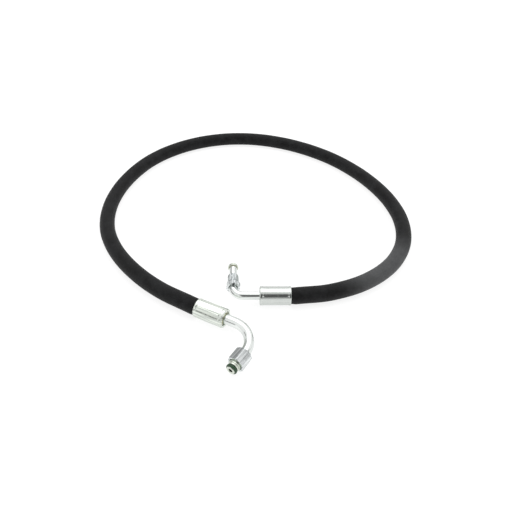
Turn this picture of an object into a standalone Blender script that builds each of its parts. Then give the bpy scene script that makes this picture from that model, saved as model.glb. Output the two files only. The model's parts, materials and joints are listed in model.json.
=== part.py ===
"""Hydraulic hose assembly: a two-wire hose laid in one open loop, with a crimped 90 degree tube
elbow and a swivel nut at each end. Metres, +Z up, resting on z = 0. The origin is on the floor,
at the middle of the two end fittings."""

import math

import bmesh
import bpy
import numpy as np
from mathutils import Matrix, Vector

MM = 0.001

# --- driving dimensions ------------------------------------------------------------------------
FERRULE_RADIUS = 11.5 * MM
FERRULE_BORE = 9.95 * MM
FERRULE_MOUTH = 8.3 * MM
FERRULE_LENGTH = 37.0 * MM
FERRULE_WALL = 3.2 * MM
CRIMP_DEPTH = 0.25 * MM

HOSE_INSET = 7.0 * MM          # the hose's cut end, measured from the ferrule's tube-side face
HOSE_SQUEEZE = 0.95            # what the crimp leaves of the hose's diameter
HOSE_SPACING = 46.0 * MM
HOSE_HALF_SIDES = 3            # bevel resolution: ten sides
# Each layer: name, outer radius, thickness.
HOSE_LAYERS = (
    ("hose_cover", 10.20 * MM, 0.85 * MM),
    ("outer_wire_braid", 9.14 * MM, 0.55 * MM),
    ("rubber_interlayer", 8.40 * MM, 0.30 * MM),
    ("inner_wire_braid", 7.92 * MM, 0.50 * MM),
    ("hose_liner", 7.23 * MM, 0.83 * MM),
)
HOSE_AXIS_HEIGHT = 10.3 * MM

TURNED_STEPS = 24
FERRULE_STEPS = 32
TUBE_HALF_SIDES = 4            # bevel resolution: twelve sides
BEND_STEPS = 8
GAP = 0.3 * MM

# --- end A: 12 mm tube, cone nose, swivel nut M16 x 1.5 with 18 mm flats ------------------------
END_A_PLACE = Vector((-18.6, -8.3, 11.5)) * MM    # middle of the ferrule's tube-side face
END_A_ANGLE = math.radians(-27.5)                 # the way the tube leaves the ferrule
TUBE_A = {"radius": 6.0 * MM, "wall": 1.75 * MM, "bend": 30.0 * MM, "straight": 11.8 * MM,
          "turn": math.radians(95.5)}             # its nominal 90 degrees, as bent
NUT_A_BACK = 0.4 * MM                             # from the end of the bend to the nut's back
NUT_A_LENGTH = 16.5 * MM
NUT_A_FLATS = 18.0 * MM
NUT_A_TURN = math.radians(6.0)
NOSE_A_REACH = 8.8 * MM                           # the cone's tip, in front of the nut

# --- end B: 10 mm tube, beaded nose, tube nut M14 x 1.5 with 16 mm flats ------------------------
END_B_PLACE = Vector((19.6, 27.7, 11.5)) * MM
END_B_ANGLE = math.radians(180.0)
TUBE_B = {"radius": 5.0 * MM, "wall": 1.5 * MM, "bend": 12.5 * MM, "straight": 18.9 * MM,
          "turn": math.radians(88.0)}
NUT_B_BACK = 0.7 * MM
NUT_B_HEX = 6.0 * MM
NUT_B_LENGTH = 19.8 * MM
NUT_B_FLATS = 16.0 * MM
NUT_B_TURN = math.radians(-12.0)
NOSE_B_REACH = 20.3 * MM

THREAD_PITCH = 1.5 * MM

# The hose's route on the floor between the two ferrules, in millimetres (x, y), from A to B.
HOSE_ROUTE = (
    (-101.4, 40.1), (-138.3, 73.2), (-168.4, 112.1), (-189.0, 155.9), (-197.2, 203.9),
    (-194.1, 252.7), (-180.7, 300.3), (-158.0, 343.4), (-125.4, 378.2), (-84.3, 403.5),
    (-37.0, 416.9), (11.8, 416.5), (58.9, 403.4), (102.1, 380.5), (140.6, 349.6),
    (172.3, 312.0), (197.0, 269.8), (213.7, 224.0), (219.9, 174.8), (211.6, 126.3),
    (187.3, 84.1), (149.5, 52.7), (104.4, 34.6),
)


# --- scene helpers -----------------------------------------------------------------------------
def clear_scene():
    for obj in list(bpy.data.objects):
        bpy.data.objects.remove(obj)


def new_collection(name):
    made = bpy.data.collections.new(name)
    bpy.context.scene.collection.children.link(made)
    return made


def new_material(name, colour, roughness, metallic):
    made = bpy.data.materials.new(name)
    made.use_nodes = True
    shader = made.node_tree.nodes["Principled BSDF"]
    shader.inputs["Base Color"].default_value = (*colour, 1.0)
    shader.inputs["Roughness"].default_value = roughness
    shader.inputs["Metallic"].default_value = metallic
    return made


def add_object(name, data, place, material=None, collection=None):
    obj = bpy.data.objects.new(name, data)
    obj.matrix_world = place
    (collection or PARTS).objects.link(obj)
    if material:
        data.materials.append(material)
    return obj


def smooth_shaded(mesh, sharp_degrees=35.0):
    mesh.shade_smooth()
    mesh.set_sharp_from_angle(angle=math.radians(sharp_degrees))


# --- shape helpers -----------------------------------------------------------------------------
def turned(name, profile, place, material, steps=TURNED_STEPS, collection=None):
    """A ring turned about the local Z axis. The profile is a closed loop of (radius, z) points
    whose outer side runs from top to bottom."""
    mesh = bpy.data.meshes.new(name)
    points = [(radius, 0.0, z) for radius, z in profile]
    edges = [(i, (i + 1) % len(points)) for i in range(len(points))]
    mesh.from_pydata(points, edges, [])
    obj = add_object(name, mesh, place, material, collection)
    screw = obj.modifiers.new("turn", "SCREW")
    screw.axis = "Z"
    screw.angle = math.tau
    screw.steps = screw.render_steps = steps
    screw.use_merge_vertices = True
    screw.merge_threshold = 1e-5
    screw.use_smooth_shade = False
    return obj


def hexagon_cutter(name, flats, low, high, turn, place):
    """A six-sided prism about local Z from low to high, with a corner at +X turned by turn."""
    mesh = bpy.data.meshes.new(name)
    shape = bmesh.new()
    radius = flats / math.sqrt(3.0)
    bmesh.ops.create_cone(shape, cap_ends=True, segments=6, radius1=radius, radius2=radius,
                          depth=high - low)
    corner = max(shape.verts, key=lambda v: v.co.x)
    start = math.atan2(corner.co.y, corner.co.x)
    bmesh.ops.rotate(shape, verts=shape.verts, matrix=Matrix.Rotation(turn - start, 3, "Z"))
    bmesh.ops.translate(shape, verts=shape.verts, vec=(0.0, 0.0, (low + high) / 2))
    shape.to_mesh(mesh)
    shape.free()
    obj = add_object(name, mesh, place, collection=CUTTERS)
    obj.hide_render = True
    obj.display_type = "WIRE"
    return obj


def hollow_tube(name, points, radius, wall, half_sides, material, squeezes=None):
    """A tube along the points, open at both ends, with a wall of this thickness inside radius."""
    curve = bpy.data.curves.new(name, "CURVE")
    curve.dimensions = "3D"
    curve.twist_mode = "Z_UP"
    curve.bevel_depth = radius
    curve.bevel_resolution = half_sides
    curve.use_fill_caps = False
    spline = curve.splines.new("POLY")
    spline.points.add(len(points) - 1)
    for i, point in enumerate(points):
        spline.points[i].co = (*point, 1.0)
        spline.points[i].radius = squeezes[i] if squeezes else 1.0
    obj = add_object(name, curve, Matrix.Identity(4), material)
    shell = obj.modifiers.new("wall", "SOLIDIFY")
    shell.thickness = wall
    shell.offset = -1.0
    shell.use_even_offset = True
    return obj


# --- frames of the ends ------------------------------------------------------------------------
def axis_frame(place, direction):
    """A frame at place whose Z runs along direction and whose X points up."""
    z = Vector(direction).normalized()
    x = Vector((0.0, 0.0, 1.0))
    y = z.cross(x)
    turn = Matrix((x, y, z)).transposed()
    return Matrix.Translation(place) @ turn.to_4x4()


def heading(angle):
    return Vector((math.cos(angle), math.sin(angle), 0.0))


def elbow_points(place, angle, tube, start, finish):
    """Points of the elbow's middle line: straight out of the ferrule, round to the right by the
    tube's turn, and straight on. start is behind the ferrule's face, finish beyond the bend."""
    out = heading(angle)
    right = heading(angle - math.pi / 2)
    bend = tube["bend"]
    centre = place + out * tube["straight"] + right * bend
    points = [place - out * start]
    for i in range(BEND_STEPS + 1):
        turned_by = tube["turn"] * i / BEND_STEPS
        points.append(centre - right * bend * math.cos(turned_by) + out * bend * math.sin(turned_by))
    points.append(points[-1] + heading(angle - tube["turn"]) * finish)
    return points


def bend_end(place, angle, tube):
    return elbow_points(place, angle, tube, 0.0, 0.0)[-1]


# --- hose --------------------------------------------------------------------------------------
def smooth_line(points, spacing):
    """Points a spacing apart on a centripetal Catmull-Rom curve through the given points."""
    given = np.array(points, float)
    given = np.vstack([2 * given[0] - given[1], given, 2 * given[-1] - given[-2]])
    knots = np.concatenate([[0.0], np.cumsum(np.linalg.norm(np.diff(given, axis=0), axis=1) ** 0.5)])
    fine = []
    for i in range(1, len(given) - 2):
        p0, p1, p2, p3 = given[i - 1:i + 3]
        t0, t1, t2, t3 = knots[i - 1:i + 3]
        for t in np.linspace(t1, t2, 40, endpoint=False):
            a1 = (t1 - t) / (t1 - t0) * p0 + (t - t0) / (t1 - t0) * p1
            a2 = (t2 - t) / (t2 - t1) * p1 + (t - t1) / (t2 - t1) * p2
            a3 = (t3 - t) / (t3 - t2) * p2 + (t - t2) / (t3 - t2) * p3
            b1 = (t2 - t) / (t2 - t0) * a1 + (t - t0) / (t2 - t0) * a2
            b2 = (t3 - t) / (t3 - t1) * a2 + (t - t1) / (t3 - t1) * a3
            fine.append((t2 - t) / (t2 - t1) * b1 + (t - t1) / (t2 - t1) * b2)
    fine.append(given[-2])
    fine = np.array(fine)
    run = np.concatenate([[0.0], np.cumsum(np.linalg.norm(np.diff(fine, axis=0), axis=1))])
    marks = np.linspace(0.0, run[-1], round(run[-1] / spacing) + 1)
    return np.stack([np.interp(marks, run, fine[:, k]) for k in range(3)], axis=1)


def hose_line():
    """The hose's middle line and its squeeze at each point, from end A to end B. It is straight
    inside each ferrule and for 6 mm outside it, then comes down to the floor."""
    ends = []
    for place, angle in ((END_A_PLACE, END_A_ANGLE), (END_B_PLACE, END_B_ANGLE)):
        into = -heading(angle)
        cut = place + into * HOSE_INSET
        mouth = place + into * (FERRULE_LENGTH - 1.0 * MM)
        free = place + into * (FERRULE_LENGTH + 6.0 * MM)
        ends.append([tuple(cut), tuple(mouth), tuple(free)])
    middle = [ends[0][2]]
    middle += [(x * MM, y * MM, HOSE_AXIS_HEIGHT) for x, y in HOSE_ROUTE]
    middle += [ends[1][2]]
    line = [tuple(float(v) for v in p) for p in smooth_line(middle, HOSE_SPACING)]
    points = ends[0][:2] + line + ends[1][1::-1]
    squeezes = [HOSE_SQUEEZE] * 2 + [1.0] * len(line) + [HOSE_SQUEEZE] * 2
    return points, squeezes


def add_hose():
    points, squeezes = hose_line()
    for name, radius, wall in HOSE_LAYERS:
        material = MATERIALS["braid"] if "braid" in name else MATERIALS["rubber"]
        hollow_tube(name, points, radius, wall, HOSE_HALF_SIDES, material, squeezes)


# --- pieces of an end, along the ferrule's axis (local Z runs into the ferrule) ------------------
def add_ferrule(name, place, angle):
    rim = FERRULE_RADIUS
    crimp = FERRULE_RADIUS - CRIMP_DEPTH
    profile = [
        (FERRULE_BORE + 0.4 * MM, FERRULE_LENGTH), (rim - 0.4 * MM, FERRULE_LENGTH),
        (rim, FERRULE_LENGTH - 0.4 * MM), (rim, FERRULE_LENGTH - 2.6 * MM),
        (crimp, FERRULE_LENGTH - 3.2 * MM), (crimp, 4.2 * MM), (rim, 3.6 * MM), (rim, 0.5 * MM),
        (rim - 0.5 * MM, 0.0), (FERRULE_MOUTH, 0.0), (FERRULE_MOUTH, FERRULE_WALL),
        (FERRULE_BORE, FERRULE_WALL), (FERRULE_BORE, FERRULE_LENGTH - 0.5 * MM),
    ]
    turned(name, profile, axis_frame(place, -heading(angle)), MATERIALS["ferrule"], FERRULE_STEPS)


def add_insert(name, place, angle, tube_radius):
    """The barbed nipple: a neck in the ferrule's mouth, a locking collar between the ferrule's
    end wall and the hose, and a stem with saw-tooth barbs in the hose's bore."""
    neck, collar = 8.0 * MM, 9.3 * MM
    barb, valley, bore = 5.45 * MM, 5.0 * MM, 3.9 * MM
    socket = tube_radius + 0.15 * MM
    stem_start, stem_end = 6.7 * MM, 33.0 * MM
    face, socket_end = 1.5 * MM, 6.0 * MM
    barbs, pitch = 5, 4.6 * MM
    outer = [(bore, stem_end), (valley, stem_end)]
    for i in range(barbs):
        top = stem_end - 0.8 * MM - i * pitch
        outer += [(barb, top - 1.0 * MM), (barb, top - 1.6 * MM), (valley, top - 2.0 * MM)]
    outer += [(valley, stem_start), (collar, stem_start), (collar, FERRULE_WALL + GAP)]
    outer += [(neck, FERRULE_WALL + GAP), (neck, face)]
    inner = [(socket, face), (socket, socket_end), (bore, socket_end)]
    turned(name, outer + inner, axis_frame(place, -heading(angle)), MATERIALS["steel"])


def add_braze(name, frame, tube_radius, height, spread, steps=20):
    """A fillet of braze round a tube: its foot is at local z = 0 and it rises along -Z."""
    inner = tube_radius + 0.12 * MM
    profile = [(inner + spread, 0.0), (inner + 0.25 * spread, -0.7 * height),
               (inner, -height), (inner, 0.0)]
    turned(name, profile, frame, MATERIALS["braze"], steps)


def add_elbow_tube(name, place, angle, tube, finish):
    hollow_tube(name, elbow_points(place, angle, tube, 5.7 * MM, finish), tube["radius"],
                tube["wall"], TUBE_HALF_SIDES, MATERIALS["tube"])


def o_ring_profile(major, deep, wide, middle, count=10):
    """A round section stretched into an oval: half deep across the radius, half wide along z."""
    return [(major + deep * math.cos(a), middle + wide * math.sin(a))
            for a in (-math.tau * i / count for i in range(count))]


# --- end A --------------------------------------------------------------------------------------
def add_end_a():
    """The nose's frame has its origin at the tip and its Z running back along the tube."""
    place, angle, tube = END_A_PLACE, END_A_ANGLE, TUBE_A
    after = heading(angle - tube["turn"])
    nut_back = bend_end(place, angle, tube) + after * NUT_A_BACK
    tip = nut_back + after * (NUT_A_LENGTH + NOSE_A_REACH)
    nose = axis_frame(tip, -after)
    nose_end = 18.0 * MM
    socket_depth = 7.0 * MM
    reach = NUT_A_BACK + NUT_A_LENGTH + NOSE_A_REACH
    add_ferrule("ferrule_a", place, angle)
    add_insert("insert_a", place, angle, tube["radius"])
    add_braze("insert_braze_a", axis_frame(place - heading(angle) * 1.2 * MM, -heading(angle)),
              tube["radius"], 1.2 * MM, 1.2 * MM)
    add_elbow_tube("elbow_tube_a", place, angle, tube, reach - nose_end + socket_depth - GAP)
    add_cone_a(nose, tube["radius"], nose_end, socket_depth)
    turned("o_ring_a", o_ring_profile(5.05 * MM, 1.45 * MM, 1.7 * MM, 2.5 * MM), nose,
           MATERIALS["o_ring"])
    add_braze("cone_braze_a", nose @ Matrix.Translation((0, 0, nose_end + GAP))
              @ Matrix.Rotation(math.pi, 4, "X"), tube["radius"], 1.0 * MM, 0.6 * MM)
    add_nut_a(nose, NOSE_A_REACH)


def add_cone_a(nose, tube_radius, nose_end, socket_depth):
    """24 degree cone nose: a front land, a groove for the O-ring, the cone, a narrow relief and
    the body."""
    slope = math.tan(math.radians(12.0))
    base, bore, groove, body = 5.25 * MM, 2.4 * MM, 3.4 * MM, 6.8 * MM
    face, land, groove_end, cone_end, relief_end = 4.65 * MM, 0.65 * MM, 4.35 * MM, 6.0 * MM, 6.5 * MM
    socket = tube_radius + 0.15 * MM
    profile = [
        (socket, nose_end), (body, nose_end), (body, relief_end), (base + 0.8 * MM, relief_end),
        (base + 0.8 * MM, cone_end), (base + slope * cone_end, cone_end),
        (base + slope * groove_end, groove_end), (groove, groove_end), (groove, land),
        (face + 0.3 * MM, land), (face, 0.0), (bore, 0.0),
        (bore, nose_end - socket_depth), (socket, nose_end - socket_depth),
    ]
    turned("cone_a", profile, nose, MATERIALS["steel"])


def add_nut_a(nose, front):
    """Swivel nut: a chamfered hexagon with a threaded bore and a lip that holds it on the cone."""
    back = front + NUT_A_LENGTH
    corner = NUT_A_FLATS / math.sqrt(3.0)
    edge = NUT_A_FLATS / 2 - 0.15 * MM
    chamfer = (corner - edge) * math.tan(math.radians(30.0))
    thread, mouth, lip = 7.25 * MM, 7.9 * MM, 6.4 * MM
    lip_length = 2.5 * MM
    profile = [
        (lip, back), (edge, back), (corner + 0.1 * MM, back - chamfer),
        (corner + 0.1 * MM, front + chamfer), (edge, front), (mouth, front),
        (thread, front + 0.8 * MM), (thread, back - lip_length), (lip, back - lip_length),
    ]
    nut = turned("nut_a", profile, nose, MATERIALS["nut"])
    cutter = hexagon_cutter("nut_a_hexagon", NUT_A_FLATS, front - GAP, back + GAP, NUT_A_TURN, nose)
    cut = nut.modifiers.new("hexagon", "BOOLEAN")
    cut.operation = "INTERSECT"
    cut.object = cutter


# --- end B --------------------------------------------------------------------------------------
def add_end_b():
    place, angle, tube = END_B_PLACE, END_B_ANGLE, TUBE_B
    after = heading(angle - tube["turn"])
    nut_back = bend_end(place, angle, tube) + after * NUT_B_BACK
    tip = nut_back + after * (NUT_B_LENGTH + NOSE_B_REACH)
    nose = axis_frame(tip, -after)
    reach = NUT_B_BACK + NUT_B_LENGTH + NOSE_B_REACH
    bead_end = 5.2 * MM
    add_ferrule("ferrule_b", place, angle)
    add_insert("insert_b", place, angle, tube["radius"])
    add_braze("insert_braze_b", axis_frame(place - heading(angle) * 1.2 * MM, -heading(angle)),
              tube["radius"], 1.2 * MM, 1.2 * MM)
    add_elbow_tube("elbow_tube_b", place, angle, tube, reach - bead_end - GAP)
    add_nose_b(nose, tube, bead_end)
    turned("o_ring_b", o_ring_profile(4.75 * MM, 0.8 * MM, 0.8 * MM, 1.55 * MM), nose,
           MATERIALS["o_ring"])
    add_braze("nose_braze_b", nose @ Matrix.Translation((0, 0, bead_end + GAP))
              @ Matrix.Rotation(math.pi, 4, "X"), tube["radius"], 0.7 * MM, 0.5 * MM)
    add_nut_b(nose, NOSE_B_REACH)


def add_nose_b(nose, tube, bead_end):
    """Beaded nose: land, O-ring groove, bead, and a spigot brazed inside the tube's end."""
    bead, groove, land, bore = 6.5 * MM, 3.8 * MM, 4.75 * MM, 2.2 * MM
    spigot, spigot_end = 3.1 * MM, 12.0 * MM
    bead_start, land_end = 2.5 * MM, 0.6 * MM
    profile = [
        (bore, spigot_end), (spigot, spigot_end), (spigot, bead_end), (bead - 0.4 * MM, bead_end),
        (bead, bead_end - 0.4 * MM), (bead, bead_start + 0.4 * MM), (bead - 0.4 * MM, bead_start),
        (groove, bead_start), (groove, land_end), (land, land_end), (land - 0.3 * MM, 0.0),
        (bore, 0.0),
    ]
    turned("nose_b", profile, nose, MATERIALS["steel"])


def add_nut_b(nose, front):
    """Tube nut: a hexagon at the back and an external thread in front, drawn as rings."""
    back = front + NUT_B_LENGTH
    hexagon_front = back - NUT_B_HEX
    corner = NUT_B_FLATS / math.sqrt(3.0)
    edge = NUT_B_FLATS / 2 - 0.15 * MM
    chamfer = (corner - edge) * math.tan(math.radians(30.0))
    crest, root, bore, relief = 6.95 * MM, 6.08 * MM, 5.3 * MM, 6.0 * MM
    profile = [
        (bore, back), (edge, back), (corner + 0.1 * MM, back - chamfer),
        (corner + 0.1 * MM, hexagon_front + chamfer), (edge, hexagon_front),
        (relief, hexagon_front), (relief, hexagon_front - 1.0 * MM),
    ]
    turns = 8
    top = hexagon_front - 1.0 * MM
    for i in range(turns):
        start = top - i * THREAD_PITCH
        profile += [(crest, start - 0.65 * MM), (crest, start - 0.85 * MM),
                    (root, start - THREAD_PITCH)]
    profile += [(root, front), (bore, front)]
    nut = turned("nut_b", profile, nose, MATERIALS["nut"])
    cutter = hexagon_cutter("nut_b_hexagon", NUT_B_FLATS, front - GAP, back + GAP, NUT_B_TURN, nose)
    cut = nut.modifiers.new("hexagon", "BOOLEAN")
    cut.operation = "INTERSECT"
    cut.object = cutter


clear_scene()
PARTS = new_collection("hydraulic_hose_assembly")
CUTTERS = new_collection("cutters")
CUTTERS.hide_render = True
MATERIALS = {
    "rubber": new_material("black_hose_rubber", (0.012, 0.012, 0.013), 0.75, 0.0),
    "braid": new_material("brassed_steel_wire", (0.55, 0.45, 0.28), 0.4, 1.0),
    "ferrule": new_material("zinc_plated_ferrule", (0.80, 0.83, 0.74), 0.25, 1.0),
    "tube": new_material("zinc_plated_tube", (0.82, 0.84, 0.84), 0.18, 1.0),
    "nut": new_material("zinc_plated_nut", (0.72, 0.75, 0.76), 0.28, 1.0),
    "steel": new_material("zinc_plated_steel", (0.75, 0.77, 0.76), 0.3, 1.0),
    "braze": new_material("plated_braze", (0.70, 0.66, 0.50), 0.45, 1.0),
    "o_ring": new_material("green_o_ring_rubber", (0.012, 0.06, 0.02), 0.5, 0.0),
}
add_hose()
add_end_a()
add_end_b()
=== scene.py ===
"""Hydraulic hose assembly: a black wire-braided hose lying in an open loop, with a crimped, plated
90 degree elbow and a swivel nut at each end. Everything is in metres, in the frame's axes."""

import json
import math

import bpy
import numpy as np
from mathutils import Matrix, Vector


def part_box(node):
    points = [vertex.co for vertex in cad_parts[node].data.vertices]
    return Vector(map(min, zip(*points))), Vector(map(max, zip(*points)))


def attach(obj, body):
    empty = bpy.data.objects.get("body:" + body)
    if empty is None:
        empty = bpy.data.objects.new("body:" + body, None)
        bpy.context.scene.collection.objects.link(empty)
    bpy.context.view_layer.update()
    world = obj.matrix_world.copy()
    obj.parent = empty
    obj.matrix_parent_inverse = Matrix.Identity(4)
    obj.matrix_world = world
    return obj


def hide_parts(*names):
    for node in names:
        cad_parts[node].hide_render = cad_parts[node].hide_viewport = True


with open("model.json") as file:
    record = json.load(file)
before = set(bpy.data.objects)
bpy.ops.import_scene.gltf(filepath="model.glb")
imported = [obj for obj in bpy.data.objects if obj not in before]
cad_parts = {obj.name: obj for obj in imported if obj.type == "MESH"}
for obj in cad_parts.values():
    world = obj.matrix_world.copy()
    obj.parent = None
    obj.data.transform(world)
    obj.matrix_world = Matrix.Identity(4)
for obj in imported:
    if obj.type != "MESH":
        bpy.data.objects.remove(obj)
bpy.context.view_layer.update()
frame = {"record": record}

MM = 0.001
UP = np.array([0.0, 0.0, 1.0])
ROOT = "hose_and_tubes"

# Hose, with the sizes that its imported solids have.
HOSE_RADIUS = 10.2 * MM
HOSE_SQUEEZE = 0.95          # the share of the hose's diameter that the crimp leaves
HOSE_INSET = 7.0 * MM        # its cut ends, from each ferrule's tube-side face
HOSE_AXIS_HEIGHT = 10.3 * MM
HOSE_STEP = 3.0 * MM
HOSE_STRAIGHT = 6.0 * MM     # the stiff stretch outside each ferrule
COVER_BORE = 9.33            # the cover's inner radius, in millimetres
# The hose's route on the floor between the ferrules, from end A to end B, as (x, y).
HOSE_ROUTE = (
    (-0.1014, 0.0401), (-0.1383, 0.0732), (-0.1684, 0.1121), (-0.1890, 0.1559), (-0.1972, 0.2039),
    (-0.1941, 0.2527), (-0.1807, 0.3003), (-0.1580, 0.3434), (-0.1254, 0.3782), (-0.0843, 0.4035),
    (-0.0370, 0.4169), (0.0118, 0.4165), (0.0589, 0.4034), (0.1021, 0.3805), (0.1406, 0.3496),
    (0.1723, 0.3120), (0.1970, 0.2698), (0.2137, 0.2240), (0.2199, 0.1748), (0.2116, 0.1263),
    (0.1873, 0.0841), (0.1495, 0.0527), (0.1044, 0.0346),
)
PAINTED_SHEEN_PLACE = (0.176, 0.072, 0.012)     # the bend round which a grey sheen is painted into the cover's colour
# Layers under the cover: node, outer and inner radius in millimetres, slot.
INNER_LAYERS = (
    ("outer_wire_braid", 9.14, 8.56, "wire_braid"),
    ("rubber_interlayer", 8.40, 8.09, "inner_rubber"),
    ("inner_wire_braid", 7.92, 7.39, "wire_braid"),
    ("hose_liner", 7.23, 6.36, "inner_rubber"),
)

# Sizes that both ends share, in millimetres.
FERRULE_LENGTH = 37.0
FERRULE_RADIUS = 11.5
THREAD_PITCH = 1.5
JAWS = 8                     # of the crimping press

# Each end, in millimetres and degrees: the tube's radius, bore, first straight, bend radius, bend
# angle and its cut end behind the nose's tip; the nut's length and the nose's reach in front of
# it; the angle of one crimp ridge above the level, on the loop's outer side at end B and its inner
# side at end A; and the ridges' height.
ENDS = {
    "a": {"joint": "nut_a_spin", "tube": 6.0, "bore": 4.25, "straight": 11.8, "bend": 30.0,
          "turn": 95.5, "tube_end": 11.3, "nut": 16.5, "reach": 8.8, "ridge": 35.0, "height": 0.16},
    "b": {"joint": "nut_b_spin", "tube": 5.0, "bore": 3.5, "straight": 18.9, "bend": 12.5,
          "turn": 88.0, "tube_end": 5.5, "nut": 19.8, "reach": 20.3, "ridge": -6.0, "height": 0.05},
}


# --- frames and grids -----------------------------------------------------------------------------
def unit(vector):
    return np.asarray(vector, float) / np.linalg.norm(vector)


def axis_frame(origin, direction):
    """Origin and three axes: the third runs along direction and the first points up."""
    z = unit(direction)
    return np.asarray(origin, float), UP, np.cross(z, UP), z


def placed(axes, x, y, z):
    """Points of a local grid, given in millimetres, in the object's frame."""
    origin, ax, ay, az = axes
    return origin + MM * (x[..., None] * ax + y[..., None] * ay + z[..., None] * az)


def lengths(points, axis):
    """Mean distance run along one direction of a closed grid, with the closing step."""
    step = np.linalg.norm(np.roll(points, -1, axis=axis) - points, axis=2).mean(axis=1 - axis)
    return np.concatenate([[0.0], np.cumsum(step)])


def closed_grid(name, points, material, sharp=32.0):
    """A mesh object from a grid of points that closes on itself in both directions, with a UV map
    in metres: first along the grid's rows, then round them."""
    rows, columns = points.shape[:2]
    i, j = np.meshgrid(np.arange(rows), np.arange(columns), indexing="ij")
    after_i, after_j = (i + 1) % rows, (j + 1) % columns
    corners = np.stack([i * columns + j, after_i * columns + j,
                        after_i * columns + after_j, i * columns + after_j], axis=-1)
    along, around = lengths(points, 0), lengths(points, 1)
    uv = np.stack([np.stack([along[i], around[j]], -1), np.stack([along[i + 1], around[j]], -1),
                   np.stack([along[i + 1], around[j + 1]], -1),
                   np.stack([along[i], around[j + 1]], -1)], axis=2)
    flat = points.reshape(-1, 3)
    corners, uv = corners.reshape(-1, 4), uv.reshape(-1, 4, 2)
    a, b, c, d = (flat[corners[:, k]] for k in range(4))
    volume = (np.cross(a, b) * c).sum() + (np.cross(a, c) * d).sum()
    if volume < 0:
        corners, uv = corners[:, ::-1], uv[:, ::-1]
    mesh = bpy.data.meshes.new(name)
    mesh.vertices.add(len(flat))
    mesh.vertices.foreach_set("co", flat.ravel())
    mesh.loops.add(corners.size)
    mesh.loops.foreach_set("vertex_index", corners.ravel())
    mesh.polygons.add(len(corners))
    mesh.polygons.foreach_set("loop_start", np.arange(len(corners)) * 4)
    mesh.update(calc_edges=True)
    layer = mesh.uv_layers.new(name="UVMap")
    layer.data.foreach_set("uv", uv.ravel())
    mesh.shade_smooth()
    mesh.set_sharp_from_angle(angle=math.radians(sharp))
    mesh.materials.append(material)
    piece = bpy.data.objects.new(name, mesh)
    bpy.context.scene.collection.objects.link(piece)
    return piece


def rounded(profile, radius, steps=4):
    """The closed profile with each corner replaced by an arc-like blend: the quadratic curve from a
    point radius before the corner to one radius after it, or half an edge where that is less."""
    points = np.array(profile, float)
    before, after = np.roll(points, 1, axis=0), np.roll(points, -1, axis=0)
    made = []
    for p, q, r in zip(before, points, after):
        into, out = np.linalg.norm(p - q), np.linalg.norm(r - q)
        cut = min(radius, 0.45 * into, 0.45 * out)
        start, end = q + (p - q) * cut / into, q + (r - q) * cut / out
        t = np.linspace(0.0, 1.0, steps)[:, None]
        made.append((1 - t) ** 2 * start + 2 * t * (1 - t) * q + t ** 2 * end)
    return np.vstack(made)


def dense(profile, spacing):
    """The closed profile with points added so that none is further than spacing from the next."""
    made = []
    for p, q in zip(profile, np.roll(profile, -1, axis=0)):
        count = max(1, math.ceil(np.linalg.norm(q - p) / spacing))
        made.append(p + (q - p) * (np.arange(count) / count)[:, None])
    return np.vstack(made)


def turned(name, axes, profile, material, steps=96, shape=None):
    """A ring: the closed profile of (radius, height) carried round the frame's third axis. shape
    takes grids of radius, height and angle and gives the radius to use instead."""
    angle = np.arange(steps) * math.tau / steps
    radius, height = (np.repeat(profile[:, k:k + 1], steps, axis=1) for k in (0, 1))
    angles = np.repeat(angle[None, :], len(profile), axis=0)
    if shape:
        radius = shape(radius, height, angles)
    points = placed(axes, radius * np.cos(angles), radius * np.sin(angles), height)
    return closed_grid(name, points, material)


def swept(name, line, outer, inner, material, steps=48, sharp=32.0):
    """A hollow tube along a line of points: each ring lies square to the line. outer and inner are
    the wall's radii in metres, as numbers or as grids of (point, angle)."""
    tangent = np.gradient(line, axis=0)
    tangent /= np.linalg.norm(tangent, axis=1)[:, None]
    side = np.cross(tangent, UP)
    side /= np.linalg.norm(side, axis=1)[:, None]
    top = np.cross(side, tangent)
    angle = np.arange(steps) * math.tau / steps
    round_line = (np.cos(angle)[None, :, None] * top[:, None]
                  + np.sin(angle)[None, :, None] * side[:, None])
    shells = []
    for radius in (outer, inner):
        grid = np.broadcast_to(radius, (len(line), steps))
        shells.append(line[:, None] + grid[..., None] * round_line)
    points = np.concatenate([shells[0], shells[1][::-1]])
    return closed_grid(name, points, material, sharp)


def smoothstep(x, low, high):
    t = np.clip((x - low) / (high - low), 0.0, 1.0)
    return t * t * (3 - 2 * t)


# --- materials ------------------------------------------------------------------------------------
def linear(hex_colour):
    """sRGB hex to linear RGBA."""
    parts = [int(hex_colour[k:k + 2], 16) / 255 for k in (1, 3, 5)]
    return [p / 12.92 if p <= 0.04045 else ((p + 0.055) / 1.055) ** 2.4 for p in parts] + [1.0]


def add_node(tree, kind, settings=None, inputs=None, **links):
    """A node of this kind with its settings, its fixed inputs, and its links from other sockets."""
    node = tree.nodes.new(kind)
    for key, value in (settings or {}).items():
        setattr(node, key, value)
    for key, value in (inputs or {}).items():
        node.inputs[key].default_value = value
    for key, socket in links.items():
        tree.links.new(socket, node.inputs[key.replace("_", " ")])
    return node


def new_material(name, roughness, metallic=0.0, **fixed):
    material = bpy.data.materials.new(name)
    material.use_nodes = True
    tree = material.node_tree
    shader = tree.nodes["Principled BSDF"]
    shader.inputs["Roughness"].default_value = roughness
    shader.inputs["Metallic"].default_value = metallic
    for key, value in fixed.items():
        shader.inputs[key.replace("_", " ")].default_value = value
    return material, tree, shader


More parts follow.
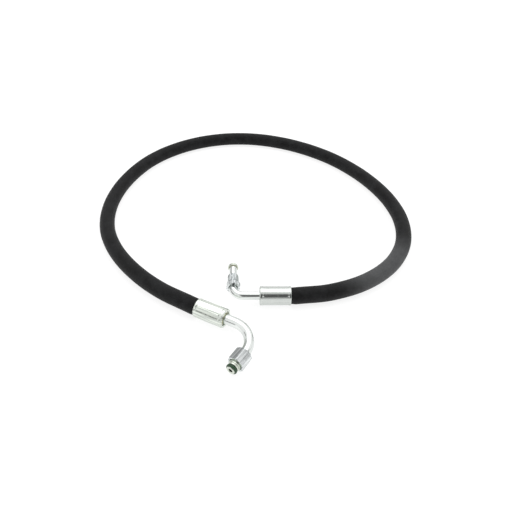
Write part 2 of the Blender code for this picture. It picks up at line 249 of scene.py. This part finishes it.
def plating(name, light, shade, roughness, grain, stretch, streaks=0.1):
    """Bright zinc electroplate over steel: a clean, slightly milky mirror whose tint comes from the
    passivation. The colour drifts over some 8 mm, the gloss over 3 mm, and grain is the depth of
    the drawing or turning lines under the plate, drawn out along the surface by stretch. Greyer
    streaks some 2 mm wide run the same way, and streaks is how strong they are."""
    material, tree, shader = new_material(name, roughness, 1.0)
    place = add_node(tree, "ShaderNodeTexCoord")
    drift = add_node(tree, "ShaderNodeTexNoise", None, {"Scale": 1 / 0.008, "Detail": 3.0},
                     Vector=place.outputs["Object"])
    tint = add_node(tree, "ShaderNodeMix", {"data_type": "RGBA"}, None)
    tint.inputs[6].default_value, tint.inputs[7].default_value = linear(light), linear(shade)
    tree.links.new(drift.outputs["Fac"], tint.inputs[0])
    drawn = add_node(tree, "ShaderNodeMapping", None, {"Scale": stretch}, Vector=place.outputs["UV"])
    broad = add_node(tree, "ShaderNodeTexNoise", None, {"Scale": 1 / 0.0021, "Detail": 1.0},
                     Vector=drawn.outputs["Vector"])
    strength = add_node(tree, "ShaderNodeMapRange", None,
                        {"From Min": 0.42, "From Max": 0.62, "To Min": 0.0, "To Max": streaks},
                        Value=broad.outputs["Fac"])
    streaked = add_node(tree, "ShaderNodeMix", {"data_type": "RGBA"})
    tree.links.new(strength.outputs["Result"], streaked.inputs[0])
    tree.links.new(tint.outputs[2], streaked.inputs[6])
    streaked.inputs[7].default_value = linear("#868B8B")
    tree.links.new(streaked.outputs[2], shader.inputs["Base Color"])
    haze = add_node(tree, "ShaderNodeTexNoise", None, {"Scale": 1 / 0.003, "Detail": 4.0},
                    Vector=place.outputs["Object"])
    gloss = add_node(tree, "ShaderNodeMapRange", None,
                     {"From Min": 0.3, "From Max": 0.7, "To Min": roughness * 0.75,
                      "To Max": roughness * 1.35}, Value=haze.outputs["Fac"])
    tree.links.new(gloss.outputs["Result"], shader.inputs["Roughness"])
    lines = add_node(tree, "ShaderNodeTexNoise", None, {"Scale": 1 / 0.0006, "Detail": 2.0},
                     Vector=drawn.outputs["Vector"])
    bump = add_node(tree, "ShaderNodeBump", None, {"Strength": 0.35, "Distance": grain},
                    Height=lines.outputs["Fac"])
    tree.links.new(bump.outputs["Normal"], shader.inputs["Normal"])
    return material


def hose_rubber(name):
    """Black chloroprene cover cured in a nylon wrap: nearly black, dull, with the wrap's fine weave
    pressed into it and a thin grey bloom. Round one bend a grey sheen is painted into its colour,
    a painted highlight mottled by the bloom. The weave is some 0.9 mm apart, and is drawn at
    1.3 mm because a finer one wouldn't show."""
    material, tree, shader = new_material(name, 0.6, 0.0, Specular_IOR_Level=0.18)
    place = add_node(tree, "ShaderNodeTexCoord")
    bloom = add_node(tree, "ShaderNodeTexNoise", None,
                     {"Scale": 1 / 0.014, "Detail": 6.0, "Roughness": 0.75},
                     Vector=place.outputs["Object"])
    colour = add_node(tree, "ShaderNodeValToRGB", None, None, Fac=bloom.outputs["Fac"])
    colour.color_ramp.elements[0].position, colour.color_ramp.elements[1].position = 0.42, 0.68
    colour.color_ramp.elements[0].color = linear("#09090A")
    colour.color_ramp.elements[1].color = linear("#232425")
    # Painted sheen: round one bend the colour is mixed towards grey, fully within 20 mm of that
    # place and fading out by 80 mm, with its strength mottled by the bloom.
    away = add_node(tree, "ShaderNodeVectorMath", {"operation": "DISTANCE"})
    tree.links.new(place.outputs["Object"], away.inputs[0])
    away.inputs[1].default_value = PAINTED_SHEEN_PLACE
    near = add_node(tree, "ShaderNodeMapRange", {"interpolation_type": "SMOOTHSTEP"},
                    {"From Min": 0.020, "From Max": 0.080, "To Min": 1.0, "To Max": 0.0},
                    Value=away.outputs["Value"])
    sheen_mottle = add_node(tree, "ShaderNodeMapRange", None,
                     {"From Min": 0.25, "From Max": 0.75, "To Min": 0.55, "To Max": 1.0},
                     Value=bloom.outputs["Fac"])
    share = add_node(tree, "ShaderNodeMath", {"operation": "MULTIPLY"})
    tree.links.new(near.outputs["Result"], share.inputs[0])
    tree.links.new(sheen_mottle.outputs["Result"], share.inputs[1])
    tint = add_node(tree, "ShaderNodeMix", {"data_type": "RGBA"})
    tree.links.new(share.outputs["Value"], tint.inputs[0])
    tree.links.new(colour.outputs["Color"], tint.inputs[6])
    # The grey of the painted sheen.
    tint.inputs[7].default_value = linear("#595A5B")
    tree.links.new(tint.outputs[2], shader.inputs["Base Color"])
    gloss = add_node(tree, "ShaderNodeMapRange", None,
                     {"From Min": 0.3, "From Max": 0.7, "To Min": 0.5, "To Max": 0.68},
                     Value=bloom.outputs["Fac"])
    tree.links.new(gloss.outputs["Result"], shader.inputs["Roughness"])
    heights = []
    for slant in (math.radians(54), math.radians(-54)):
        turned_uv = add_node(tree, "ShaderNodeMapping", None, {"Rotation": (0.0, 0.0, slant)},
                             Vector=place.outputs["UV"])
        wave = add_node(tree, "ShaderNodeTexWave", {"wave_type": "BANDS", "bands_direction": "X"},
                        {"Scale": 0.314 / 0.0013, "Distortion": 0.6, "Detail": 1.0},
                        Vector=turned_uv.outputs["Vector"])
        heights.append(wave.outputs["Fac"])
    weave = add_node(tree, "ShaderNodeMath", {"operation": "ADD"})
    tree.links.new(heights[0], weave.inputs[0])
    tree.links.new(heights[1], weave.inputs[1])
    fine = add_node(tree, "ShaderNodeTexNoise", None, {"Scale": 1 / 0.0011, "Detail": 4.0},
                    Vector=place.outputs["Object"])
    mixed = add_node(tree, "ShaderNodeMath", {"operation": "ADD"})
    tree.links.new(weave.outputs["Value"], mixed.inputs[0])
    tree.links.new(fine.outputs["Fac"], mixed.inputs[1])
    bump = add_node(tree, "ShaderNodeBump", None, {"Strength": 0.6, "Distance": 0.00016},
                    Height=mixed.outputs["Value"])
    tree.links.new(bump.outputs["Normal"], shader.inputs["Normal"])
    return material


def plain_rubber(name, dark, pale, roughness):
    """Moulded or extruded rubber: an even colour with a faint cloudy bloom and a fine matt skin."""
    material, tree, shader = new_material(name, roughness)
    place = add_node(tree, "ShaderNodeTexCoord")
    cloud = add_node(tree, "ShaderNodeTexNoise", None, {"Scale": 1 / 0.004, "Detail": 3.0},
                     Vector=place.outputs["Object"])
    tint = add_node(tree, "ShaderNodeMix", {"data_type": "RGBA"})
    tint.inputs[6].default_value, tint.inputs[7].default_value = linear(dark), linear(pale)
    tree.links.new(cloud.outputs["Fac"], tint.inputs[0])
    tree.links.new(tint.outputs[2], shader.inputs["Base Color"])
    skin = add_node(tree, "ShaderNodeTexNoise", None, {"Scale": 1 / 0.0004, "Detail": 2.0},
                    Vector=place.outputs["Object"])
    bump = add_node(tree, "ShaderNodeBump", None, {"Strength": 0.2, "Distance": 0.00003},
                    Height=skin.outputs["Fac"])
    tree.links.new(bump.outputs["Normal"], shader.inputs["Normal"])
    return material


def wire_braid(name):
    """Brass-coated high-tensile wire: two families of fine wires crossing at 54 degrees, 0.35 mm
    each. The colour is a painted highlight on each wire's crown and painted shade between wires."""
    material, tree, shader = new_material(name, 0.32, 1.0)
    place = add_node(tree, "ShaderNodeTexCoord")
    heights = []
    for slant in (math.radians(54), math.radians(-54)):
        turned_uv = add_node(tree, "ShaderNodeMapping", None, {"Rotation": (0.0, 0.0, slant)},
                             Vector=place.outputs["UV"])
        wave = add_node(tree, "ShaderNodeTexWave", {"wave_type": "BANDS", "bands_direction": "X"},
                        {"Scale": 0.314 / 0.0007}, Vector=turned_uv.outputs["Vector"])
        heights.append(wave.outputs["Fac"])
    top = add_node(tree, "ShaderNodeMath", {"operation": "MAXIMUM"})
    tree.links.new(heights[0], top.inputs[0])
    tree.links.new(heights[1], top.inputs[1])
    # Painted light and shade: the colour runs from a dark brass in the hollows between wires to a
    # bright brass on their crowns, following the wires' height.
    tint = add_node(tree, "ShaderNodeMix", {"data_type": "RGBA"})
    tint.inputs[6].default_value, tint.inputs[7].default_value = linear("#4A3E26"), linear("#C9AE72")
    tree.links.new(top.outputs["Value"], tint.inputs[0])
    tree.links.new(tint.outputs[2], shader.inputs["Base Color"])
    bump = add_node(tree, "ShaderNodeBump", None, {"Strength": 0.8, "Distance": 0.0002},
                    Height=top.outputs["Value"])
    tree.links.new(bump.outputs["Normal"], shader.inputs["Normal"])
    return material


def paper_floor(name):
    """A white light table: matt and lit from beneath, which leaves only faint contact shadows."""
    material, tree, shader = new_material(name, 0.9, 0.0, Specular_IOR_Level=0.2)
    place = add_node(tree, "ShaderNodeTexCoord")
    cloud = add_node(tree, "ShaderNodeTexNoise", None, {"Scale": 3.0, "Detail": 2.0},
                     Vector=place.outputs["Object"])
    tint = add_node(tree, "ShaderNodeMix", {"data_type": "RGBA"})
    tint.inputs[6].default_value, tint.inputs[7].default_value = linear("#8C8C8C"), linear("#909090")
    tree.links.new(cloud.outputs["Fac"], tint.inputs[0])
    tree.links.new(tint.outputs[2], shader.inputs["Base Color"])
    shader.inputs["Emission Color"].default_value = linear("#FFFFFF")
    shader.inputs["Emission Strength"].default_value = 0.83
    return material


# Drawing lines run along tubes, ferrules and the drawn bar that nuts are cut from, and turning
# lines run round a turned nose.
ALONG, ROUND = (0.06, 1.0, 1.0), (1.0, 0.03, 1.0)
FINISH = {
    "hose_rubber": hose_rubber("wrap_cured_black_rubber"),
    "inner_rubber": plain_rubber("extruded_black_nitrile", "#0E0E0F", "#171718", 0.5),
    "wire_braid": wire_braid("brassed_wire_braid"),
    "ferrule_a": plating("yellowish_zinc_crimped_ferrule", "#E9EEE8", "#DCE2D7", 0.2, 3e-5, ALONG,
                         0.45),
    "ferrule_b": plating("bright_zinc_crimped_ferrule", "#D2D5D2", "#C6CBC7", 0.17, 2e-5, ALONG),
    "tube": plating("bright_zinc_bent_tube", "#EDF0EE", "#E2E6E3", 0.13, 1e-5, ALONG, 0.25),
    "nut": plating("bright_zinc_hexagon_nut", "#F0F3F3", "#E5E9EA", 0.2, 2e-5, ALONG, 0.55),
    "turned": plating("bright_zinc_turned_nose", "#DDE2D9", "#CDD4C6", 0.18, 2e-5, ROUND),
    "braze": plating("plated_braze_fillet", "#C9C9AE", "#A9A98C", 0.34, 8e-5, (1.0, 1.0, 1.0)),
    "o_ring": plain_rubber("dark_green_nitrile_o_ring", "#1A3A1E", "#264A2B", 0.36),
    "floor": paper_floor("matt_white_card"),
}


def finish(piece, node, body=ROOT):
    """The piece stands for its CAD node, whose imported solid is hidden, and rides on its body."""
    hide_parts(node)
    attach(piece, body)
    return piece


# --- the ends -------------------------------------------------------------------------------------
def node_centre(node):
    low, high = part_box(node)
    return (np.array(low) + np.array(high)) / 2


def end_frames(name, end):
    """Where an end's pieces lie: the ferrule's face and the way out of it, and the nose's frame,
    whose origin is the tip and whose third axis runs back along the tube."""
    joint = next(j for j in frame["record"]["behaviour"]["joints"] if j["name"] == end["joint"])
    tip, after = np.array(joint["pos_m"]), unit(joint["axis"])
    turn = math.radians(end["turn"])
    out = after * math.cos(turn) + np.cross(UP, after) * math.sin(turn)
    face = node_centre("ferrule_" + name) + out * FERRULE_LENGTH / 2 * MM
    return {"tip": tip, "after": after, "out": out, "face": face,
            "nose": axis_frame(tip, -after), "ferrule": axis_frame(face, -out)}


def ferrule(name, end, place):
    """A sleeve pressed by eight jaws: round rims, and between them a slightly smaller circle with
    a narrow squeezed-out ridge between neighbouring jaws and a small dent at each ridge's ends."""
    rim, mouth, bore, wall = FERRULE_RADIUS, 8.3, 9.95, 3.2
    length = FERRULE_LENGTH
    profile = rounded([
        (bore + 0.5, length), (rim - 0.1, length), (rim, length - 0.5), (rim, 0.9), (rim - 0.7, 0.0),
        (mouth + 0.4, 0.0), (mouth, 0.5), (mouth, wall), (bore, wall), (bore, length - 0.8),
    ], 0.35)
    profile = dense(profile, 0.4)
    # Angle 0 points up, and angles grow towards the frame's second axis. One ridge lies on that
    # side, ridge degrees above the level, and the others follow at equal steps.
    first = math.radians(90.0 - end["ridge"])
    pitch = math.tau / JAWS

    def pressed(radius, height, angle):
        outer = smoothstep(radius, bore + 0.6, rim - 0.6)
        zone = smoothstep(height, 3.6, 4.6) * (1 - smoothstep(height, length - 3.4, length - 2.4))
        off = ((angle - first + pitch / 2) % pitch - pitch / 2) * rim
        middle = np.abs(off) - pitch * rim / 2
        flat = 0.05 * (1 - (middle / (pitch * rim / 2)) ** 2)
        ridge = end["height"] * np.exp(-(off / 0.5) ** 2)
        dents = np.exp(-((height - 4.3) / 0.8) ** 2) + np.exp(-((height - length + 3.0) / 0.8) ** 2)
        dent = 0.45 * dents * np.exp(-(off / 0.9) ** 2)
        return radius + outer * (zone * (-0.2 - flat + ridge) - dent)

    piece = turned("crimped_ferrule_" + name, place["ferrule"], profile, FINISH["ferrule_" + name],
                   256, pressed)
    return finish(piece, "ferrule_" + name)


def insert(name, end, place):
    """The barbed nipple: neck and socket at the mouth, locking collar, saw-tooth stem."""
    neck, collar, barb, valley, bore = 8.0, 9.3, 5.45, 5.0, 3.9
    socket, face, stem_end = end["tube"] + 0.15, 1.5, 33.0
    outer = [(bore, stem_end), (valley, stem_end)]
    for i in range(5):
        top = stem_end - 0.8 - 4.6 * i
        outer += [(barb, top - 1.0), (barb, top - 1.6), (valley, top - 2.0)]
    outer += [(valley, 6.7), (collar, 6.7), (collar, 3.5), (neck, 3.5), (neck, face)]
    inner = [(socket + 0.3, face), (socket, face + 0.4), (socket, 6.0), (bore, 6.0)]
    piece = turned("barbed_nipple_" + name, place["ferrule"], rounded(outer + inner, 0.15),
                   FINISH["turned"])
    return finish(piece, "insert_" + name)


def braze(name, node, axes, tube, height, spread, foot, side):
    """A fillet ring: a hollow quarter-round between the tube and the shoulder it is brazed to."""
    inner = tube + 0.08
    t = np.linspace(0.0, 1.0, 8)[:, None]
    edge = np.hstack([inner + spread * (1 - np.sin(t * math.pi / 2)),
                      foot + side * height * (1 - np.cos(t * math.pi / 2))])
    profile = np.vstack([edge, [[inner, foot]]])
    piece = turned(name, axes, profile, FINISH["braze"], 64)
    return finish(piece, node)


def elbow_line(end, place):
    """The tube's middle line: straight, an arc of the bend's radius, and straight."""
    bend = end["bend"] * MM
    face, out, after = place["face"], place["out"], place["after"]
    right = np.cross(out, UP)
    start, stop = face - out * 5.7 * MM, place["tip"] - after * end["tube_end"] * MM
    centre = face + out * end["straight"] * MM + right * bend
    angle = np.linspace(0.0, math.radians(end["turn"]), 48)[:, None]
    arc = centre + bend * (out * np.sin(angle) - right * np.cos(angle))
    runs = [start + (arc[0] - start) * t for t in np.linspace(0, 1, 24, endpoint=False)]
    ends = [arc[-1] + (stop - arc[-1]) * t for t in np.linspace(0, 1, 24)[1:]]
    return np.vstack([runs, arc, ends])


def elbow(name, end, place):
    """Mandrel-bent tube: round on the straights, flattened by some 3% across the bend's plane at
    the middle of the bend."""
    line = elbow_line(end, place)
    steps = 64
    share = np.zeros(len(line))
    share[24:72] = np.sin(np.linspace(0.0, math.pi, 48))
    angle = np.arange(steps) * math.tau / steps
    oval = 1 - 0.03 * share[:, None] * np.sin(angle)[None, :] ** 2
    piece = swept("bent_tube_" + name, line, end["tube"] * MM * oval, end["bore"] * MM * oval,
                  FINISH["tube"], steps)
    return finish(piece, "elbow_tube_" + name)


def o_ring(name, place, major, deep, wide, middle):
    """A ring about the nose's axis whose section is an oval: half deep across the radius and half
    wide along the axis, because it sits stretched in its groove."""
    t = np.linspace(0.0, math.tau, 32, endpoint=False)
    profile = np.stack([major + deep * np.cos(t), middle + wide * np.sin(t)], axis=1)
    piece = turned("seal_ring_" + name, place["nose"], profile, FINISH["o_ring"], 96)
    return finish(piece, "o_ring_" + name)


def hexagon(flats, angle, turn):
    """Radius of a hexagon with one corner at turn: the lowest of its six sides' distances along
    each ray, blended softly so that the corners are a little round. Each side is crowned by some
    0.15 mm, so that a reflection shades off across it."""
    sharpness, crown = 14.0, 0.006
    total = 0.0
    for k in range(6):
        cosine = np.maximum(np.cos(angle - turn - math.radians(30 + 60 * k)), 0.3)
        aside = (flats / 2) ** 2 * (1 / cosine ** 2 - 1)
        total = total + np.exp(-sharpness * (flats / 2 - crown * aside) / cosine)
    return -np.log(total) / sharpness


def soft_low(a, b, sharpness=20.0):
    """The lower of two grids, with a small round where they cross."""
    low = np.minimum(a, b)
    return low - np.log(np.exp(-sharpness * (a - low)) + np.exp(-sharpness * (b - low))) / sharpness


def thread_wave(height, angle):
    """0 at a thread's root and 1 at its crest, on a right-handed helix with flat crest and root."""
    phase = (height / THREAD_PITCH - angle / math.tau) % 1.0
    return np.clip(np.abs(2 * phase - 1) * 1.4 - 0.2, 0.0, 1.0)


# --- end A ----------------------------------------------------------------------------------------
def cone_a(end, place):
    """24 degree cone nose: front land, O-ring groove, cone, relief, body, and the tube's socket."""
    slope = math.tan(math.radians(12.0))
    base, bore, groove, body, nose_end = 5.25, 2.4, 3.4, 6.8, 18.0
    socket, land, groove_end, cone_end, relief_end = end["tube"] + 0.15, 0.65, 4.35, 5.9, 6.6
    profile = rounded([
        (socket, nose_end), (body, nose_end), (body, relief_end), (base + 0.7, relief_end),
        (base + 0.7, cone_end), (base + slope * cone_end, cone_end),
        (base + slope * groove_end, groove_end), (groove, groove_end), (groove, land),
        (4.95, land), (4.65, 0.0), (bore + 0.35, 0.0), (bore, 0.5), (bore, 11.0), (socket, 11.0),
    ], 0.18)
    piece = turned("cone_nose_a", place["nose"], dense(profile, 0.8), FINISH["turned"], 128)
    return finish(piece, "cone_a")


def nut_a(end, place):
    """Swivel nut: a hexagon whose ends are chamfered by 30 degree cones, a chamfered mouth with an
    internal thread behind it, and a lip at the back."""
    flats, turn = 18.0, math.radians(6.0)
    front, back = end["reach"], end["reach"] + end["nut"]
    corner, edge = flats / math.sqrt(3.0), flats / 2 - 0.25
    minor, depth, mouth, lip, lip_length = 7.25, 0.6, 7.95, 6.4, 2.5
    slope = 1 / math.tan(math.radians(30.0))
    profile = np.array([
        (lip, back), (edge - 0.4, back), (corner, back - 0.02), (corner, front + 0.02),
        (edge - 0.3, front), (mouth, front), (minor, front + 0.9), (minor, back - lip_length - 1.2),
        (lip, back - lip_length),
    ])
    profile = dense(profile, 0.16)

    def shape(radius, height, angle):
        ends = edge + slope * np.minimum(height - front, back - height)
        outside = soft_low(hexagon(flats, angle, turn), ends)
        body = (radius > mouth + 0.3) & (height > front + 0.01) & (height < back - 0.01)
        radius = np.where(body, np.minimum(radius, outside), radius)
        inside = (radius < mouth) & (height > front + 0.3) & (height < back - lip_length - 1.0)
        fade = smoothstep(height, front + 0.3, front + 1.4)
        fade *= 1 - smoothstep(height, back - lip_length - 2.2, back - lip_length - 1.0)
        cut = np.maximum(radius, minor + depth * thread_wave(height, angle) * fade)
        return np.where(inside, cut, radius)

    piece = turned("swivel_nut_a", place["nose"], profile, FINISH["nut"], 240, shape)
    return finish(piece, "nut_a", "nut_a")


# --- end B ----------------------------------------------------------------------------------------
def nose_b(place):
    """Beaded nose: land, O-ring groove, rounded bead, and a spigot inside the tube."""
    bead, groove, land, bore, spigot = 6.5, 3.8, 4.75, 2.2, 3.1
    profile = rounded([
        (bore, 12.0), (spigot, 12.0), (spigot, 5.2), (bead - 0.1, 5.2), (bead, 5.1), (bead, 2.6),
        (bead - 0.1, 2.5), (groove, 2.5), (groove, 0.6), (land, 0.6), (land - 0.3, 0.0),
        (bore + 0.3, 0.0), (bore, 0.3),
    ], 0.6, 6)
    piece = turned("beaded_nose_b", place["nose"], profile, FINISH["turned"], 128)
    return finish(piece, "nose_b")


def nut_b(end, place):
    """Tube nut: a chamfered hexagon behind, and in front of it a relief, an external thread that
    runs out at both ends, and a plain bore."""
    flats, hexagon_length, turn = 16.0, 6.0, math.radians(-12.0)
    front, back = end["reach"], end["reach"] + end["nut"]
    shoulder = back - hexagon_length
    corner, edge = flats / math.sqrt(3.0), flats / 2 - 0.25
    crest, root, bore = 6.95, 6.05, 5.3
    slope = 1 / math.tan(math.radians(30.0))
    profile = np.array([
        (bore + 0.5, back), (edge - 0.4, back), (corner, back - 0.02), (corner, shoulder + 0.02),
        (edge - 0.3, shoulder), (root, shoulder), (root, shoulder - 0.9), (crest, shoulder - 1.5),
        (crest, front + 0.8), (root - 0.1, front), (bore + 0.3, front), (bore, front + 0.4),
        (bore, back - 0.6),
    ])
    profile = dense(profile, 0.14)

    def shape(radius, height, angle):
        ends = edge + slope * np.minimum(height - shoulder, back - height)
        outside = soft_low(hexagon(flats, angle, turn), ends)
        body = (radius > root + 0.3) & (height > shoulder + 0.01) & (height < back - 0.01)
        radius = np.where(body, np.minimum(radius, outside), radius)
        threaded = (radius > root) & (height < shoulder - 0.9)
        groove = (crest - root) * (1 - thread_wave(height, angle))
        return np.where(threaded, np.maximum(np.minimum(radius, crest - groove), root), radius)

    piece = turned("tube_nut_b", place["nose"], profile, FINISH["nut"], 192, shape)
    return finish(piece, "nut_b", "nut_b")


# --- hose -----------------------------------------------------------------------------------------
def smooth_line(points, spacing):
    """Points a spacing apart on a centripetal Catmull-Rom curve through the given points."""
    given = np.array(points, float)
    given = np.vstack([2 * given[0] - given[1], given, 2 * given[-1] - given[-2]])
    knots = np.concatenate([[0.0], np.cumsum(np.linalg.norm(np.diff(given, axis=0), axis=1) ** 0.5)])
    fine = []
    for i in range(1, len(given) - 2):
        p0, p1, p2, p3 = given[i - 1:i + 3]
        t0, t1, t2, t3 = knots[i - 1:i + 3]
        t = np.linspace(t1, t2, 60, endpoint=False)[:, None]
        a1 = (t1 - t) / (t1 - t0) * p0 + (t - t0) / (t1 - t0) * p1
        a2 = (t2 - t) / (t2 - t1) * p1 + (t - t1) / (t2 - t1) * p2
        a3 = (t3 - t) / (t3 - t2) * p2 + (t - t2) / (t3 - t2) * p3
        b1 = (t2 - t) / (t2 - t0) * a1 + (t - t0) / (t2 - t0) * a2
        b2 = (t3 - t) / (t3 - t1) * a2 + (t - t1) / (t3 - t1) * a3
        fine.append((t2 - t) / (t2 - t1) * b1 + (t - t1) / (t2 - t1) * b2)
    fine = np.vstack([*fine, given[-2:-1]])
    run = np.concatenate([[0.0], np.cumsum(np.linalg.norm(np.diff(fine, axis=0), axis=1))])
    marks = np.linspace(0.0, run[-1], round(run[-1] / spacing) + 1)
    return np.stack([np.interp(marks, run, fine[:, k]) for k in range(3)], axis=1)


def hose_line(places):
    """The hose's middle line from cut end to cut end: straight inside each ferrule and a little
    way outside it, then down to the floor and round the route."""
    free = [p["face"] - p["out"] * (FERRULE_LENGTH * MM + HOSE_STRAIGHT) for p in places]
    cut = [p["face"] - p["out"] * HOSE_INSET for p in places]
    middle = [free[0], *((x, y, HOSE_AXIS_HEIGHT) for x, y in HOSE_ROUTE), free[1]]
    line = smooth_line(middle, HOSE_STEP)
    count = 14
    leaving = cut[0] + (free[0] - cut[0]) * np.linspace(0, 1, count, endpoint=False)[:, None]
    entering = free[1] + (cut[1] - free[1]) * np.linspace(0, 1, count + 1)[1:, None]
    return np.vstack([leaving, line, entering])


def hose(places):
    """The hose's five layers on one line. The cover carries the low helical steps that the edge of
    the curing wrap leaves, one turn every 38 mm."""
    line = hose_line(places)
    run = np.concatenate([[0.0], np.cumsum(np.linalg.norm(np.diff(line, axis=0), axis=1))])
    from_end = np.minimum(run, run[-1] - run)
    grip = FERRULE_LENGTH * MM - HOSE_INSET
    squeeze = HOSE_SQUEEZE + (1 - HOSE_SQUEEZE) * smoothstep(from_end, grip - 1 * MM, grip + 6 * MM)
    steps = 64
    angle = np.arange(steps) / steps
    lead, step = 0.038, 0.00007
    wrap = (run[:, None] / lead - angle[None, :]) % 1.0
    ledge = step * (smoothstep(wrap, 0.0, 0.04) - wrap)
    outer = (HOSE_RADIUS - step + ledge) * squeeze[:, None]
    inner = COVER_BORE * MM * squeeze[:, None]
    cover = swept("hose_cover_wrapped", line, outer, inner, FINISH["hose_rubber"], steps, 60.0)
    finish(cover, "hose_cover")
    every_second = np.unique(np.append(np.arange(0, len(line), 2), len(line) - 1))
    share = squeeze[every_second, None] * MM
    for node, far, near, slot in INNER_LAYERS:
        layer = swept(node + "_layer", line[every_second], far * share, near * share, FINISH[slot],
                      32, 60.0)
        finish(layer, node)
    return float(run[-1])


# --- stage ----------------------------------------------------------------------------------------
def stage():
    """A wide white floor, one broad soft light overhead and behind, and a pale studio with a few
    dim places that polished metal mirrors as darker bands: a broad one in front of the loop and
    high up, and smaller ones round the horizon."""
    bpy.ops.mesh.primitive_plane_add(size=12.0, location=(0.0, 0.0, 0.0))
    floor = bpy.context.object
    floor.name = "floor"
    floor.data.materials.append(FINISH["floor"])

    light = bpy.data.lights.new("overhead_softbox", "AREA")
    light.shape, light.size, light.size_y, light.energy = "RECTANGLE", 2.0, 1.8, 10.0
    lamp = bpy.data.objects.new("overhead_softbox", light)
    lamp.location = (0.1, 0.95, 1.5)
    bpy.context.scene.collection.objects.link(lamp)

    world = bpy.data.worlds.new("studio")
    bpy.context.scene.world = world
    world.use_nodes = True
    tree = world.node_tree
    background = tree.nodes["Background"]
    way = add_node(tree, "ShaderNodeTexCoord")
    # Direction, degrees from it that are fully dim, degrees where the dimness ends, brightness.
    dim_places = (((0.04, -0.75, 0.66), 13, 36, 0.11), ((-0.46, 0.83, 0.31), 8, 20, 0.45),
                  ((-0.85, 0.43, 0.28), 4, 13, 0.35), ((-0.76, -0.62, 0.17), 4, 12, 0.25),
                  ((0.85, 0.12, 0.50), 2, 9, 0.35))
    level = None
    for direction, full, end, brightness in dim_places:
        toward = add_node(tree, "ShaderNodeVectorMath", {"operation": "DOT_PRODUCT"})
        tree.links.new(way.outputs["Generated"], toward.inputs[0])
        toward.inputs[1].default_value = unit(direction)
        gap = add_node(tree, "ShaderNodeMapRange", {"interpolation_type": "SMOOTHSTEP"},
                       {"From Min": math.cos(math.radians(end)),
                        "From Max": math.cos(math.radians(full)), "To Min": 1.0,
                        "To Max": brightness}, Value=toward.outputs["Value"])
        if level is None:
            level = gap.outputs["Result"]
            continue
        both = add_node(tree, "ShaderNodeMath", {"operation": "MULTIPLY"})
        tree.links.new(level, both.inputs[0])
        tree.links.new(gap.outputs["Result"], both.inputs[1])
        level = both.outputs["Value"]
    # The studio's walls are plain white where they are looked at directly.
    looked_at = add_node(tree, "ShaderNodeLightPath")
    walls = add_node(tree, "ShaderNodeMath", {"operation": "MAXIMUM"})
    tree.links.new(level, walls.inputs[0])
    tree.links.new(looked_at.outputs["Is Camera Ray"], walls.inputs[1])
    tree.links.new(walls.outputs["Value"], background.inputs["Color"])
    background.inputs["Strength"].default_value = 1.0


def camera():
    """Above the near side of the loop, looking along +Y and down by 41 degrees."""
    data = bpy.data.cameras.new("camera")
    data.lens, data.sensor_width = 34.45, 36.0
    data.clip_start, data.clip_end = 0.02, 50.0
    eye = bpy.data.objects.new("camera", data)
    eye.location = (0.0143, -0.3751, 0.4253)
    eye.rotation_euler = (math.radians(90.0 - 41.0), 0.0, 0.0)
    bpy.context.scene.collection.objects.link(eye)
    bpy.context.scene.camera = eye


PLACES = {name: end_frames(name, end) for name, end in ENDS.items()}
camera()
stage()
hose([PLACES["a"], PLACES["b"]])
for key in ENDS:
    ferrule(key, ENDS[key], PLACES[key])
    insert(key, ENDS[key], PLACES[key])
    braze("insert_fillet_" + key, "insert_braze_" + key, PLACES[key]["ferrule"], ENDS[key]["tube"],
          1.2, 1.2, 1.3, -1)
    elbow(key, ENDS[key], PLACES[key])
cone_a(ENDS["a"], PLACES["a"])
braze("cone_fillet_a", "cone_braze_a", PLACES["a"]["nose"], ENDS["a"]["tube"], 1.0, 0.7, 18.2, 1)
o_ring("a", PLACES["a"], 5.05, 1.45, 1.7, 2.5)
nut_a(ENDS["a"], PLACES["a"])
nose_b(PLACES["b"])
braze("nose_fillet_b", "nose_braze_b", PLACES["b"]["nose"], ENDS["b"]["tube"], 0.7, 0.5, 5.4, 1)
o_ring("b", PLACES["b"], 4.75, 0.8, 0.8, 1.55)
nut_b(ENDS["b"], PLACES["b"])

bpy.context.scene.view_settings.view_transform = "Standard"
